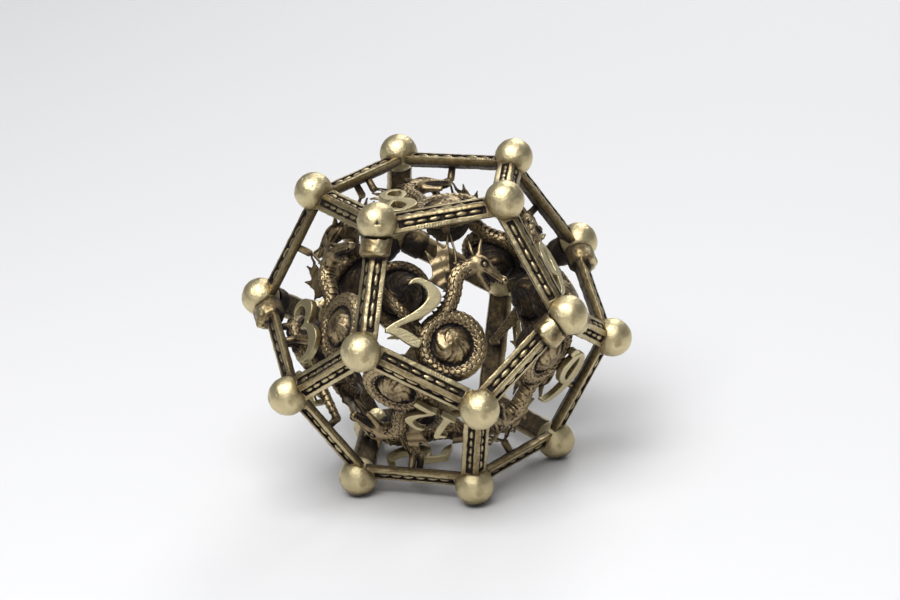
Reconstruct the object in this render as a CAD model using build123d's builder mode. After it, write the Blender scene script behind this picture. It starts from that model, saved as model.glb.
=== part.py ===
"""Hollow metal twelve-sided die: an open cage of corner balls and beaded struts.

Each of the twelve faces holds an openwork figure, a serpent coiled round a pearl, and a
numeral that stands on the serpent's tail. Millimetres, +Z up, origin on the ground under the
middle of the die, which rests on its lowest face. The front face looks along -Y.
"""
from build123d import *
import os
from math import acos, cos, degrees, pi, radians, sin, sqrt, tan

os.makedirs("parts", exist_ok=True)

# ---- driving dimensions -------------------------------------------------------------------
edge_length = 8.6          # between the centres of two neighbouring corner balls
ball_diameter = 2.7

# strut section: two flanks that meet in a ridge, each with a beaded channel and an inner rail
ridge_height = 0.15        # ridge of the two flanks above the line between the ball centres
ridge_flat = 0.22          # width of the flat along the ridge
flank_width = 1.08         # from the ridge to the inner edge, along the flank
channel_start = 0.27       # from the ridge to the near wall of the channel
channel_width = 0.45
channel_depth = 0.20
strut_depth = 0.98         # from the ridge to the underside
underside_width = 1.24

bead_length = 0.72
bead_width = 0.40
bead_end = 0.08            # radius of the blunt ends of a bead
bead_sink = 0.03           # axis of a bead below the floor of its channel
bead_pitch = 0.90

# round peg at each end of a strut, in a blind socket in the ball
peg_diameter = 0.60
peg_length = 0.48
peg_root = 0.30            # hidden length of a peg inside its strut
peg_drop = 0.42            # peg axis below the line between the ball centres
peg_clearance = 0.02
seat_clearance = 0.02      # between the hollow end of a strut and its ball

# collar on the struts where the upper and the lower half of the cage are joined
collar_diameter = 2.05
collar_length = 1.05
collar_drop = 0.25
collar_gap = 0.05          # open joint between the collar and the ball
collar_start = 0.95        # no part of a collar is nearer to the ball's centre than this

# figure, in the plane of its face: right, up, and depth below the face
pearl_diameter = 3.2
pearl_right = 0.95
pearl_rise = 3.168         # pearl above the middle of the strut below it
pearl_depth = 1.75
coil_radius = 1.85         # centre line of the serpent's coil round the pearl
body_diameter = 1.1
body_depth = 1.15
neck_diameter = 0.96
throat_diameter = 1.12      # bulge where the two bends of the neck meet
neck_leave_angle = 150     # where the neck leaves the coil
neck_drop = 4.762           # end of the neck below the top corner of the face
lower_bend_turn = 55
upper_bend_radius = 1.25
upper_bend_turn = 85
skull_diameter = 1.5
snout_length = 2.1
snout_droop = 38           # from the neck's last heading down to the snout's
snout_diameter = 1.1
snout_tip_diameter = 0.6
brow_rise = 0.12           # axis of the snout above the middle of the skull
jaw_length = 1.8
jaw_drop = 26              # angle between the snout and the open jaw
jaw_diameter = 0.66
jaw_tip_diameter = 0.3
jaw_offset = 0.30          # root of the jaw below the middle of the skull
horn_length = 1.7
horn_heading = 125
horn_spread = 28
horn_diameter = 0.46
horn_tip_diameter = 0.10
fin_thickness = 0.30
tail_diameter = 0.76
tail_tip_diameter = 0.50
tail_depth = 1.02

# lugs of the figure, each with a pin in a blind hole in the underside of a strut
lug_diameter = 0.54
lug_side = 0.33            # from the middle of the strut's underside
lug_reach = 0.72           # from the underside down to the lug's root
pin_diameter = 0.36
pin_length = 0.26
pin_clearance = 0.02
coil_lug_pitch = 1.5       # between the two lugs of the coil, on the lower strut
fin_lug_offset = -0.3
tail_lug_offset = 0.0

# numerals, on pins in the serpent's tail and coil
numeral_height = 4.4
numeral_thickness = 0.45
numeral_depth = 0.10       # front of the numeral below the face
numeral_right = -2.15      # middle of the numeral
numeral_rise = 4.018       # above the middle of the strut below it
pair_scale = 0.62          # size of the digits in a two-digit numeral
pair_pitch = 1.75          # between the middles of its digits
stud_diameter = 0.30
stud_clearance = 0.02
dot_diameter = 0.62        # dot beside the six and the nine
dot_right = 1.28
dot_up = -1.85

# ---- the dodecahedron ---------------------------------------------------------------------
golden = (1 + sqrt(5)) / 2
ball_radius = ball_diameter / 2
face_radius = edge_length / (2 * sin(pi / 5))
face_apothem = edge_length / (2 * tan(pi / 5))
face_distance = face_apothem * golden
belt_radius = face_radius * golden
corner_distance = edge_length * golden * sqrt(3) / 2
belt_height = sqrt(corner_distance ** 2 - belt_radius ** 2)
half_dihedral = degrees(acos(-1 / sqrt(5))) / 2
centre_height = face_distance + ball_radius
centre = Vector(0, 0, centre_height)
pearl_up = pearl_rise - face_apothem
numeral_up = numeral_rise - face_apothem


def corner_ring(radius, height, first_angle):
    """Five corners, a fifth of a turn apart, at one height above the middle of the die."""
    angles = [radians(first_angle + 72 * step) for step in range(5)]
    return [centre + Vector(radius * cos(a), radius * sin(a), height) for a in angles]


top = corner_ring(face_radius, face_distance, -126)
upper = corner_ring(belt_radius, belt_height, -126)
lower = corner_ring(belt_radius, -belt_height, -162)
bottom = corner_ring(face_radius, -face_distance, -162)
corners = top + upper + lower + bottom
TOP, UPPER, LOWER, BOTTOM = 0, 5, 10, 15


def ring_corner(ring, step):
    """Number of one corner in the list of corners."""
    return ring + step % 5


def turned(loop, turns):
    """The same loop of corners, started further round."""
    return loop[turns:] + loop[:turns]


def upper_face(step):
    """Corners of one upper face, from its lower left, anticlockwise from outside."""
    return [ring_corner(UPPER, step), ring_corner(LOWER, step + 1), ring_corner(UPPER, step + 1),
            ring_corner(TOP, step + 1), ring_corner(TOP, step)]


def lower_face(step):
    """Corners of one lower face, from its lower left, anticlockwise from outside."""
    return [ring_corner(LOWER, step + 1), ring_corner(UPPER, step), ring_corner(LOWER, step),
            ring_corner(BOTTOM, step), ring_corner(BOTTOM, step + 1)]


# number on each face; opposite faces add up to thirteen
faces = {
    8: [ring_corner(TOP, step) for step in range(5)],
    5: [ring_corner(BOTTOM, -step) for step in range(5)],
    2: upper_face(0),
    9: upper_face(1),
    1: upper_face(2),
    7: upper_face(3),
    3: turned(upper_face(4), 1),
    12: lower_face(0),
    6: lower_face(1),
    10: lower_face(2),
    11: lower_face(3),
    4: lower_face(4),
}


def face_plane(loop):
    """Plane of a face: origin at its middle, X along its lower edge, Z outwards."""
    points = [corners[number] for number in loop]
    middle = sum(points, Vector(0, 0, 0)) / 5
    return Plane(origin=middle, x_dir=points[1] - points[0], z_dir=middle - centre)


def strut_plane(start, end):
    """Plane of a strut: origin midway between its balls, X along it, Z outwards."""
    middle = (start + end) / 2
    return Plane(origin=middle, x_dir=end - start, z_dir=middle - centre)


def in_frame(plane, x, y, z):
    """A point given in a plane's own frame."""
    return plane.origin + plane.x_dir * x + plane.y_dir * y + plane.z_dir * z


# ---- struts -------------------------------------------------------------------------------
flank_out = sin(radians(half_dihedral))      # the flank's fall away from the ridge, and down
flank_down = cos(radians(half_dihedral))
underside = ridge_height - strut_depth
seat_radius = ball_radius + seat_clearance
half_edge = edge_length / 2
peg_tip = sqrt(ball_radius ** 2 - peg_drop ** 2) - peg_length   # from the ball's centre
bead_count = int((edge_length - ball_diameter - bead_length / 2) / bead_pitch)


def flank_point(along, below):
    """A point of the section, given along the flank from the ridge and below its surface."""
    return (along * flank_out - below * flank_down,
            ridge_height - along * flank_down - below * flank_out)


def lug_offsets(side):
    """Where the figure's lugs meet one side of its face, from the middle of that side."""
    if side == 0:
        return (pearl_right - coil_lug_pitch / 2, pearl_right + coil_lug_pitch / 2)
    if side == 3:
        return (fin_lug_offset,)
    if side == 4:
        return (tail_lug_offset,)
    return ()


# A plain strut in its own frame: X along it from ball to ball, Z outwards.
with BuildPart() as plain_strut:
    with BuildSketch(Plane.YZ.offset(-half_edge)):
        with BuildLine():
            Polyline(
                (0, underside),
                (underside_width / 2, underside),
                flank_point(flank_width, 0),
                flank_point(channel_start + channel_width, 0),
                flank_point(channel_start + channel_width, channel_depth),
                flank_point(channel_start, channel_depth),
                flank_point(channel_start, 0),
                flank_point(ridge_flat / 2 / flank_out, 0),
                (0, ridge_height - ridge_flat / 2 * flank_down / flank_out),
            )
            mirror(about=Plane.YZ)
        make_face()
    extrude(amount=edge_length)
    for flank in (1, -1):
        across, height = flank_point(channel_start + channel_width / 2, channel_depth + bead_sink)
        for number in range(bead_count):
            along = (number - (bead_count - 1) / 2) * bead_pitch
            axis = Axis((along, flank * across, height), (1, 0, 0))
            with BuildSketch(Plane(origin=axis.position, x_dir=(1, 0, 0), z_dir=(0, 1, 0))):
                with BuildLine():
                    Polyline((-bead_length / 2, bead_end), (-bead_length / 2, 0),
                             (bead_length / 2, 0), (bead_length / 2, bead_end))
                    ThreePointArc((-bead_length / 2, bead_end), (0, bead_width / 2),
                                  (bead_length / 2, bead_end))
                make_face()
            revolve(axis=axis)
    with Locations((-half_edge, 0, 0), (half_edge, 0, 0)):
        Sphere(seat_radius, mode=Mode.SUBTRACT)
    for direction in (1, -1):
        with BuildSketch(Plane.YZ.offset(direction * (half_edge - peg_tip))):
            with Locations((0, -peg_drop)):
                Circle(peg_diameter / 2)
        extrude(amount=-direction * (peg_length + peg_root))

# A strut with a collar at its start, which has a rounded far end and an open joint at the ball.
with BuildPart() as collar:
    with BuildSketch(Plane.YZ.offset(collar_start - half_edge)):
        with Locations((0, -collar_drop)):
            Circle(collar_diameter / 2)
    extrude(amount=collar_length * 2)
    with Locations((-half_edge, 0, 0)):
        Sphere(ball_radius + collar_length, mode=Mode.INTERSECT)
        Sphere(ball_radius + collar_gap, mode=Mode.SUBTRACT)

with BuildPart() as collared_strut:
    add(plain_strut.part)
    add(collar.part)


def pin_places(start, end):
    """Where the figures at the two sides of a strut are pinned to its underside."""
    places = []
    for loop in faces.values():
        for side in range(5):
            corner, following = loop[side], loop[(side + 1) % 5]
            if {corner, following} == {start, end}:
                forward = 1 if corner == start else -1
                for offset in lug_offsets(side):
                    places.append((forward * offset, forward * lug_side))
    return places


def make_strut(start, end, collared):
    """One strut between two corners; a collared one has its collar at the start."""
    places = pin_places(start, end)
    with BuildPart() as strut:
        add(collared_strut.part if collared else plain_strut.part)
        if places:
            with BuildSketch(Plane.XY.offset(underside)):
                with Locations(*places):
                    Circle(pin_diameter / 2 + pin_clearance)
            extrude(amount=pin_length + pin_clearance * 2, mode=Mode.SUBTRACT)
    return strut.part.moved(strut_plane(corners[start], corners[end]).location)


# ---- corner balls -------------------------------------------------------------------------
def nearest_corners(number):
    """The three corners that struts join to one corner."""
    return sorted({
        loop[(place + turn) % 5]
        for loop in faces.values()
        for place in range(5)
        if loop[place] == number
        for turn in (1, -1)
    })


def ball_plane(number):
    """Plane of a corner ball: origin at its centre, Z outwards, X above its first strut."""
    outwards = (corners[number] - centre).normalized()
    strut = corners[nearest_corners(number)[0]] - corners[number]
    return Plane(origin=corners[number], x_dir=strut - outwards * strut.dot(outwards),
                 z_dir=outwards)


# A ball in its own frame, with a blind socket for the peg of each of its three struts.
with BuildPart() as ball:
    Sphere(ball_radius)
    for neighbour in nearest_corners(0):
        strut_end = ball_plane(0).to_local_coords(corners[neighbour])
        middle = strut_end / 2
        outwards = (middle + Vector(0, 0, corner_distance)).normalized()
        floor = strut_end.normalized() * (peg_tip - peg_clearance) - outwards * peg_drop
        with BuildSketch(Plane(origin=floor, z_dir=strut_end)):
            Circle(peg_diameter / 2 + peg_clearance)
        extrude(amount=ball_radius, mode=Mode.SUBTRACT)


def make_balls(ring):
    """The five balls of one ring."""
    with BuildPart() as balls:
        for number in range(ring, ring + 5):
            add(ball.part.moved(ball_plane(number).location))
    return balls.part


# ---- figure: a serpent coiled round a pearl, in the frame of its face ----------------------
def side_plane(side):
    """Plane of the strut along one side of the face, with Y towards the middle of the face."""
    angle = radians(72 * side - 90)
    middle = Vector(face_apothem * cos(angle), face_apothem * sin(angle), 0)
    return Plane(origin=middle, x_dir=(-sin(angle), cos(angle), 0),
                 z_dir=middle + Vector(0, 0, face_distance))


def lug_root(side):
    """Foot of the lug on one side of the face, where it grows out of the figure."""
    return in_frame(side_plane(side), lug_offsets(side)[0], lug_side, underside - lug_reach)


def coil_point(angle, depth):
    """A point on the centre line of the coil, by its angle round the pearl."""
    return Vector(pearl_right + coil_radius * cos(radians(angle)),
                  pearl_up + coil_radius * sin(radians(angle)), -depth)


tail_start = coil_point(188, tail_depth)
tail_end = lug_root(4)


def round_taper(start, end, first_diameter, last_diameter):
    """A round taper between two points, flat at its start and rounded off past its end."""
    length = (end - start).length
    with BuildPart() as taper:
        with BuildSketch():
            with BuildLine():
                Polyline((length + last_diameter / 2, 0), (0, 0), (0, first_diameter / 2),
                         (length, last_diameter / 2))
                TangentArc((length, last_diameter / 2), (length + last_diameter / 2, 0),
                           tangent=(1, 0))
            make_face()
        revolve(axis=Axis.X)
    along = Plane(origin=start, z_dir=end - start)
    return taper.part.moved(Plane(origin=start, x_dir=along.z_dir, z_dir=along.x_dir).location)


def heading(angle):
    """Unit direction in the plane of the face."""
    return Vector(cos(radians(angle)), sin(radians(angle)), 0)


# The neck leaves the coil in one wide bend to the left and a tight one to the right. The wide
# bend takes up the height that the face leaves.
lower_start = coil_point(neck_leave_angle, body_depth)
lower_heading = neck_leave_angle - 90
upper_heading = lower_heading + lower_bend_turn
head_heading = upper_heading - upper_bend_turn
lower_way = heading(lower_heading + 90) + heading(upper_heading - 90)
upper_way = heading(upper_heading - 90) + heading(head_heading + 90)
neck_rise = face_radius - neck_drop - lower_start.Y
lower_bend_radius = (neck_rise - upper_way.Y * upper_bend_radius) / lower_way.Y
lower_middle = lower_start + heading(lower_heading + 90) * lower_bend_radius
upper_start = lower_middle + heading(upper_heading - 90) * lower_bend_radius
upper_middle = upper_start + heading(upper_heading - 90) * upper_bend_radius
neck_end = upper_middle + heading(head_heading + 90) * upper_bend_radius
neck_bends = (
    (lower_start, lower_middle, heading(lower_heading), lower_bend_turn),
    (upper_start, upper_middle, heading(upper_heading), -upper_bend_turn),
)
skull = neck_end + heading(head_heading + 15) * skull_diameter / 3
snout_heading = head_heading - snout_droop
brow = skull + heading(snout_heading + 90) * brow_rise
throat = skull + heading(snout_heading - 90) * jaw_offset
fin_root = lower_middle + heading(lower_heading - 90 + lower_bend_turn * 0.75) * lower_bend_radius
fin_tip = lug_root(3)

with BuildPart() as figure:
    with Locations((pearl_right, pearl_up, -pearl_depth)):
        Sphere(pearl_diameter / 2)
    with Locations((pearl_right, pearl_up, -body_depth)):
        Torus(coil_radius, body_diameter / 2)
    for bend_start, bend_middle, bend_heading, bend_turn in neck_bends:
        with BuildSketch(Plane(origin=bend_start, z_dir=bend_heading)):
            Circle(neck_diameter / 2)
        turn_axis = Axis(bend_middle, Vector(0, 0, 1 if bend_turn > 0 else -1))
        revolve(axis=turn_axis, revolution_arc=abs(bend_turn))
    with Locations(upper_start):
        Sphere(throat_diameter / 2)
    with Locations(skull):
        Sphere(skull_diameter / 2)
    add(round_taper(brow, brow + heading(snout_heading) * snout_length,
                    snout_diameter, snout_tip_diameter))
    add(round_taper(throat, throat + heading(snout_heading - jaw_drop) * jaw_length,
                    jaw_diameter, jaw_tip_diameter))
    for spread in (-horn_spread / 2, horn_spread / 2):
        add(round_taper(skull, skull + heading(horn_heading + spread) * horn_length,
                        horn_diameter, horn_tip_diameter))

    with BuildSketch(Plane.XY.offset(-body_depth - fin_thickness / 2)):
        with BuildLine():
            Polyline(
                (fin_root.X, fin_root.Y),
                (fin_root.X - 1.55, fin_root.Y + 0.65),
                (fin_root.X - 1.00, fin_root.Y + 1.15),
                (fin_tip.X - 0.05, fin_tip.Y - 1.65),
                (fin_tip.X + 0.75, fin_tip.Y - 0.95),
                (fin_tip.X - 0.20, fin_tip.Y - 0.05),
                (fin_tip.X + 0.15, fin_tip.Y + 0.15),
                (skull.X, skull.Y + 0.20),
                close=True,
            )
        make_face()
    extrude(amount=fin_thickness)

    add(round_taper(tail_start, tail_end, tail_diameter, tail_tip_diameter))
    for side in range(5):
        for offset in lug_offsets(side):
            root = in_frame(side_plane(side), offset, lug_side, underside - lug_reach)
            with BuildSketch(Plane(origin=root, z_dir=side_plane(side).z_dir)):
                Circle(lug_diameter / 2)
            extrude(amount=lug_reach - seat_clearance)
            with BuildSketch(Plane(origin=root, z_dir=side_plane(side).z_dir)):
                Circle(pin_diameter / 2)
            extrude(amount=lug_reach + pin_length)

# ---- numerals -----------------------------------------------------------------------------
# Pen strokes of each digit: points (right, up, width) for a digit 4.4 high, about its middle.
drawn_height = 4.4
strokes = {
    0: [[(0.10, 2.08, 0.22), (-0.72, 1.45, 0.60), (-0.98, 0.00, 0.92), (-0.72, -1.45, 0.60),
         (0.00, -2.08, 0.22)],
        [(0.00, -2.08, 0.22), (0.72, -1.45, 0.60), (0.98, 0.00, 0.92), (0.72, 1.45, 0.60),
         (0.10, 2.08, 0.22)]],
    1: [[(-0.85, 1.10, 0.12), (-0.30, 1.50, 0.34), (0.15, 2.05, 0.30)],
        [(0.12, 2.15, 0.40), (0.18, 0.90, 0.72), (0.18, -0.90, 0.74), (0.12, -2.10, 0.86)],
        [(-0.75, -2.12, 0.14), (0.15, -1.98, 0.40), (1.00, -2.12, 0.14)]],
    2: [[(-1.17, 1.45, 0.12), (-0.82, 1.90, 0.32), (-0.10, 1.95, 0.48), (0.70, 1.40, 0.92),
         (0.52, 0.45, 0.70), (-0.28, -0.70, 0.44), (-1.22, -2.00, 0.30)],
        [(-1.28, -2.00, 0.26), (-0.50, -1.72, 0.62), (0.35, -1.78, 0.74), (1.20, -1.80, 0.50)]],
    3: [[(-1.12, 1.40, 0.12), (-0.74, 1.90, 0.32), (0.02, 1.96, 0.48), (0.66, 1.35, 0.84),
         (0.38, 0.62, 0.50), (-0.34, 0.22, 0.26)],
        [(-0.38, 0.26, 0.24), (0.42, 0.06, 0.50), (0.90, -0.80, 0.92), (0.36, -1.74, 0.58),
         (-0.48, -2.00, 0.40), (-1.14, -1.55, 0.12)]],
    4: [[(0.50, 2.15, 0.16), (-0.28, 0.90, 0.36), (-1.22, -0.66, 0.30)],
        [(-1.30, -0.72, 0.34), (0.00, -0.80, 0.54), (1.30, -0.62, 0.26)],
        [(0.48, 2.15, 0.20), (0.46, 0.70, 0.62), (0.46, -0.90, 0.72), (0.52, -2.15, 0.48)]],
    5: [[(-0.66, 1.80, 0.42), (0.30, 1.84, 0.54), (1.15, 2.10, 0.18)],
        [(-0.62, 1.95, 0.28), (-0.76, 1.15, 0.32), (-0.84, 0.35, 0.26)],
        [(-0.90, 0.38, 0.16), (-0.06, 0.66, 0.44), (0.80, 0.05, 0.82), (0.78, -1.05, 0.86),
         (0.10, -1.86, 0.52), (-0.66, -1.98, 0.38), (-1.16, -1.52, 0.12)]],
    6: [[(0.92, 2.08, 0.12), (0.10, 1.66, 0.44), (-0.62, 0.66, 0.70), (-0.84, -0.60, 0.92),
         (-0.42, -1.66, 0.62), (0.20, -2.00, 0.36)],
        [(-0.80, -0.30, 0.16), (-0.04, 0.20, 0.40), (0.72, -0.22, 0.66), (0.84, -1.05, 0.78),
         (0.48, -1.74, 0.50), (0.00, -2.02, 0.30)]],
    7: [[(-1.18, 1.40, 0.12), (-0.86, 1.84, 0.46), (0.10, 1.72, 0.54), (1.14, 1.92, 0.34)],
        [(1.14, 2.00, 0.26), (0.52, 0.80, 0.46), (0.05, -0.60, 0.64), (-0.20, -2.15, 0.80)]],
    8: [[(0.70, 1.70, 0.22), (0.08, 2.04, 0.36), (-0.62, 1.46, 0.60), (-0.34, 0.60, 0.72),
         (0.10, 0.20, 0.80)],
        [(-0.10, 0.40, 0.78), (0.42, -0.10, 0.82), (0.78, -1.10, 0.78), (0.22, -1.90, 0.48)],
        [(0.30, -1.92, 0.44), (-0.50, -1.84, 0.40), (-0.84, -1.10, 0.48), (-0.40, -0.20, 0.36),
         (0.20, 0.34, 0.36)],
        [(0.10, 0.26, 0.34), (0.72, 1.00, 0.40), (0.70, 1.72, 0.24)]],
}
strokes[9] = [[(-across, -height, width) for across, height, width in stroke]
              for stroke in strokes[6]]

# where each numeral's studs stand on the tail, to the right of the middle of the numeral
studs = {1: (0.16,), 2: (-0.12,), 3: (0.86,), 4: (0.46,), 5: (0.80,), 6: (-0.72,), 7: (0.05,),
         8: (0.45,), 9: (0.66,), 10: (-0.74, 1.45), 11: (-0.74, 1.00), 12: (-0.74, 0.60)}


def tail_top(right):
    """Height in the face of the tail's centre line, at a place to the right."""
    share = (right - tail_start.X) / (tail_end.X - tail_start.X)
    return tail_start.Y + share * (tail_end.Y - tail_start.Y)


def stud_places(value):
    """Where the studs of a numeral stand, in the plane of the face."""
    places = [(numeral_right + across, tail_top(numeral_right + across)) for across in studs[value]]
    if value in (6, 9):
        places.append((numeral_right + dot_right, numeral_up + dot_up))
    return places


def stroke_edges(points, scale, right):
    """Points along the two edges of one pen stroke, which swells and thins."""
    middles = [Vector(right + x * scale, numeral_up + y * scale, 0) for x, y, _ in points]
    halves = [width * scale / 2 for _, _, width in points]
    left_edge, right_edge = [], []
    for place, middle in enumerate(middles):
        ahead = middles[min(place + 1, len(middles) - 1)] - middles[max(place - 1, 0)]
        aside = Vector(-ahead.Y, ahead.X, 0).normalized() * halves[place]
        left_edge.append(middle + aside)
        right_edge.append(middle - aside)
    return left_edge, right_edge


def make_numeral(value, plane):
    """A numeral on its studs, with a dot beside the six and the nine."""
    digits = [int(digit) for digit in str(value)]
    scale = numeral_height / drawn_height * (1 if len(digits) == 1 else pair_scale)
    back = -numeral_depth - numeral_thickness
    with BuildPart() as numeral:
        with BuildSketch(Plane.XY.offset(back)):
            for place, digit in enumerate(digits):
                right = numeral_right + (place - (len(digits) - 1) / 2) * pair_pitch
                for stroke in strokes[digit]:
                    left_edge, right_edge = stroke_edges(stroke, scale, right)
                    with BuildLine():
                        Spline(*left_edge)
                        Line(left_edge[-1], right_edge[-1])
                        Spline(*reversed(right_edge))
                        Line(right_edge[0], left_edge[0])
                    make_face()
            if value in (6, 9):
                with Locations((numeral_right + dot_right, numeral_up + dot_up)):
                    Circle(dot_diameter / 2)
        extrude(amount=numeral_thickness)
        with BuildSketch(Plane.XY.offset(-tail_depth)):
            with Locations(*stud_places(value)):
                Circle(stud_diameter / 2)
        extrude(amount=tail_depth + back + numeral_thickness / 2)
    return numeral.part.moved(plane.location)


def make_figure(value, plane):
    """The figure in its face, with blind holes for the studs of its numeral."""
    with BuildPart() as drilled:
        add(figure.part)
        with BuildSketch(Plane.XY.offset(-tail_depth - stud_clearance)):
            with Locations(*stud_places(value)):
                Circle(stud_diameter / 2 + stud_clearance)
        extrude(amount=tail_depth, mode=Mode.SUBTRACT)
    return drilled.part.moved(plane.location)


# ---- the pieces, one file each ------------------------------------------------------------
def save(piece, name):
    """Label a piece and write its file."""
    piece.label = name
    export_step(piece, f"parts/{name}.step")


for ring_name, ring in (("top", TOP), ("upper", UPPER), ("lower", LOWER), ("bottom", BOTTOM)):
    save(make_balls(ring), f"balls_{ring_name}")

cast_above = set(range(TOP, TOP + 5)) | set(range(UPPER + 1, UPPER + 5))
rows = {(TOP, TOP): "top", (TOP, UPPER): "upper", (UPPER, LOWER): "belt",
        (LOWER, BOTTOM): "lower", (BOTTOM, BOTTOM): "bottom"}
row_counts = dict.fromkeys(rows.values(), 0)
for first in range(len(corners)):
    for second in nearest_corners(first):
        if second > first:
            row = rows[first // 5 * 5, second // 5 * 5]
            row_counts[row] += 1
            halves_meet = first in cast_above and second not in cast_above
            save(make_strut(first, second, halves_meet), f"strut_{row}_{row_counts[row]}")

for value, loop in faces.items():
    save(make_figure(value, face_plane(loop)), f"figure_{value}")
    save(make_numeral(value, face_plane(loop)), f"numeral_{value}")
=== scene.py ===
"""The looks of a hollow twelve-sided brass die: worn balls, beaded struts, figures and numerals.

Shapes are worked out in millimetres, in the frame of one strut or one face, as fields of signed
distance that are then meshed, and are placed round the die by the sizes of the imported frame.
"""
import math
import bpy
import numpy as np
import openvdb
from mathutils import Matrix, Quaternion, Vector


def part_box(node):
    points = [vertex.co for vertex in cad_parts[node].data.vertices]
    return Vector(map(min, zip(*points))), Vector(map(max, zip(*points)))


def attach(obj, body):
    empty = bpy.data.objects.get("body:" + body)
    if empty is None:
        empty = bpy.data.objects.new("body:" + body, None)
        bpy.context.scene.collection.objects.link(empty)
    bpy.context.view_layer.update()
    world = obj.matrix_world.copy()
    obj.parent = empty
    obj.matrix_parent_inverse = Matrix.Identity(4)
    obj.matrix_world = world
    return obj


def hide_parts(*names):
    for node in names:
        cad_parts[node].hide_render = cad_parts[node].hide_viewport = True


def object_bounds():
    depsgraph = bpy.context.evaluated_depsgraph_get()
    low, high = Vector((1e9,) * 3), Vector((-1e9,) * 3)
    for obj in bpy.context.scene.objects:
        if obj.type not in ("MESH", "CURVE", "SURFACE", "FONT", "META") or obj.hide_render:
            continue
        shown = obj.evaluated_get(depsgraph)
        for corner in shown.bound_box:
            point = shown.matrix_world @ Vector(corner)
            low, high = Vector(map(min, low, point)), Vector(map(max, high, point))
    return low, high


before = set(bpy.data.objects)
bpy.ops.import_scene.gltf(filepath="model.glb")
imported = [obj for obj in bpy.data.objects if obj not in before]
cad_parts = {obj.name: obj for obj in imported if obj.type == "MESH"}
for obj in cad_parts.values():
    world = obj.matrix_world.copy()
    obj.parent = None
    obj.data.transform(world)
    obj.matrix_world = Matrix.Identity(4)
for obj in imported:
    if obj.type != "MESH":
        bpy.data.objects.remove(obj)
cad_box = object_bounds()
MM = 0.001

# ---- the dodecahedron, from the frame -------------------------------------------------------
GOLDEN = (1 + math.sqrt(5)) / 2
low_ball, high_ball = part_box("balls_bottom")
BALL_RADIUS = (high_ball.z - low_ball.z) / 2 / MM
FACE_DISTANCE = (cad_box[1][2] - cad_box[0][2]) / 2 / MM - BALL_RADIUS
FACE_APOTHEM = FACE_DISTANCE / GOLDEN
EDGE = FACE_APOTHEM * 2 * math.tan(math.pi / 5)
FACE_RADIUS = EDGE / (2 * math.sin(math.pi / 5))
BELT_RADIUS = FACE_RADIUS * GOLDEN
CORNER_DISTANCE = EDGE * GOLDEN * math.sqrt(3) / 2
BELT_HEIGHT = math.sqrt(CORNER_DISTANCE ** 2 - BELT_RADIUS ** 2)
CENTRE = np.array([0, 0, FACE_DISTANCE + BALL_RADIUS])
HALF_DIHEDRAL = math.acos(-1 / math.sqrt(5)) / 2
TOP, UPPER, LOWER, BOTTOM = 0, 5, 10, 15


def corner_ring(radius, height, first_angle):
    """Five corners, a fifth of a turn apart, at one height above the middle of the die."""
    angles = np.radians(first_angle + 72 * np.arange(5))
    return CENTRE + np.stack([radius * np.cos(angles), radius * np.sin(angles),
                              np.full(5, height)], 1)


CORNERS = np.concatenate([
    corner_ring(FACE_RADIUS, FACE_DISTANCE, -126), corner_ring(BELT_RADIUS, BELT_HEIGHT, -126),
    corner_ring(BELT_RADIUS, -BELT_HEIGHT, -162), corner_ring(FACE_RADIUS, -FACE_DISTANCE, -162)])


def upper_face(step):
    """Corners of one upper face, from its lower left, anticlockwise from outside."""
    step, following = step % 5, (step + 1) % 5
    return [UPPER + step, LOWER + following, UPPER + following, TOP + following, TOP + step]


def lower_face(step):
    """Corners of one lower face, from its lower left, anticlockwise from outside."""
    step, following = step % 5, (step + 1) % 5
    return [LOWER + following, UPPER + step, LOWER + step, BOTTOM + step, BOTTOM + following]


FACES = {8: [TOP + step for step in range(5)], 5: [BOTTOM + -step % 5 for step in range(5)],
         2: upper_face(0), 9: upper_face(1), 1: upper_face(2), 7: upper_face(3),
         3: upper_face(4)[1:] + upper_face(4)[:1],
         12: lower_face(0), 6: lower_face(1), 10: lower_face(2), 11: lower_face(3), 4: lower_face(4)}
JOINED = {frozenset((loop[side], loop[(side + 1) % 5])) for loop in FACES.values() for side in range(5)}
CAST_ABOVE = set(range(TOP, TOP + 5)) | set(range(UPPER + 1, UPPER + 5))


def unit(vector):
    return vector / np.linalg.norm(vector)


def placement(origin, x_axis, z_axis):
    """Matrix from a local frame in millimetres to the row frame in metres."""
    z_axis = unit(z_axis)
    x_axis = unit(x_axis - z_axis * (x_axis @ z_axis))
    matrix = np.eye(4)
    matrix[:3, :3] = np.stack([x_axis, np.cross(z_axis, x_axis), z_axis], 1) * MM
    matrix[:3, 3] = origin * MM
    return Matrix(matrix.tolist())


# ---- noise and fields -----------------------------------------------------------------------
def value_noise(points, size, seed):
    """Smooth noise from -1 to 1, with features of one size, at an array of points."""
    lattice = np.random.default_rng(seed).uniform(-1, 1, (32, 32, 32)).astype(np.float32)
    scaled = points / size + 100.5
    cell = np.floor(scaled).astype(int)
    part = scaled - cell
    part = part * part * (3 - 2 * part)
    total = 0
    for corner in range(8):
        step = np.array([corner & 1, corner >> 1 & 1, corner >> 2 & 1])
        weight = np.prod(np.where(step, part, 1 - part), -1)
        place = (cell + step) & 31
        total = total + weight * lattice[place[..., 0], place[..., 1], place[..., 2]]
    return total


def smooth_min(first, second, blend):
    """The union of two fields, with a fillet of about one size."""
    share = np.clip(0.5 + 0.5 * (second - first) / blend, 0, 1)
    return second + (first - second) * share - blend * share * (1 - share)


def smooth_max(first, second, blend):
    return -smooth_min(-first, -second, blend)


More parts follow.
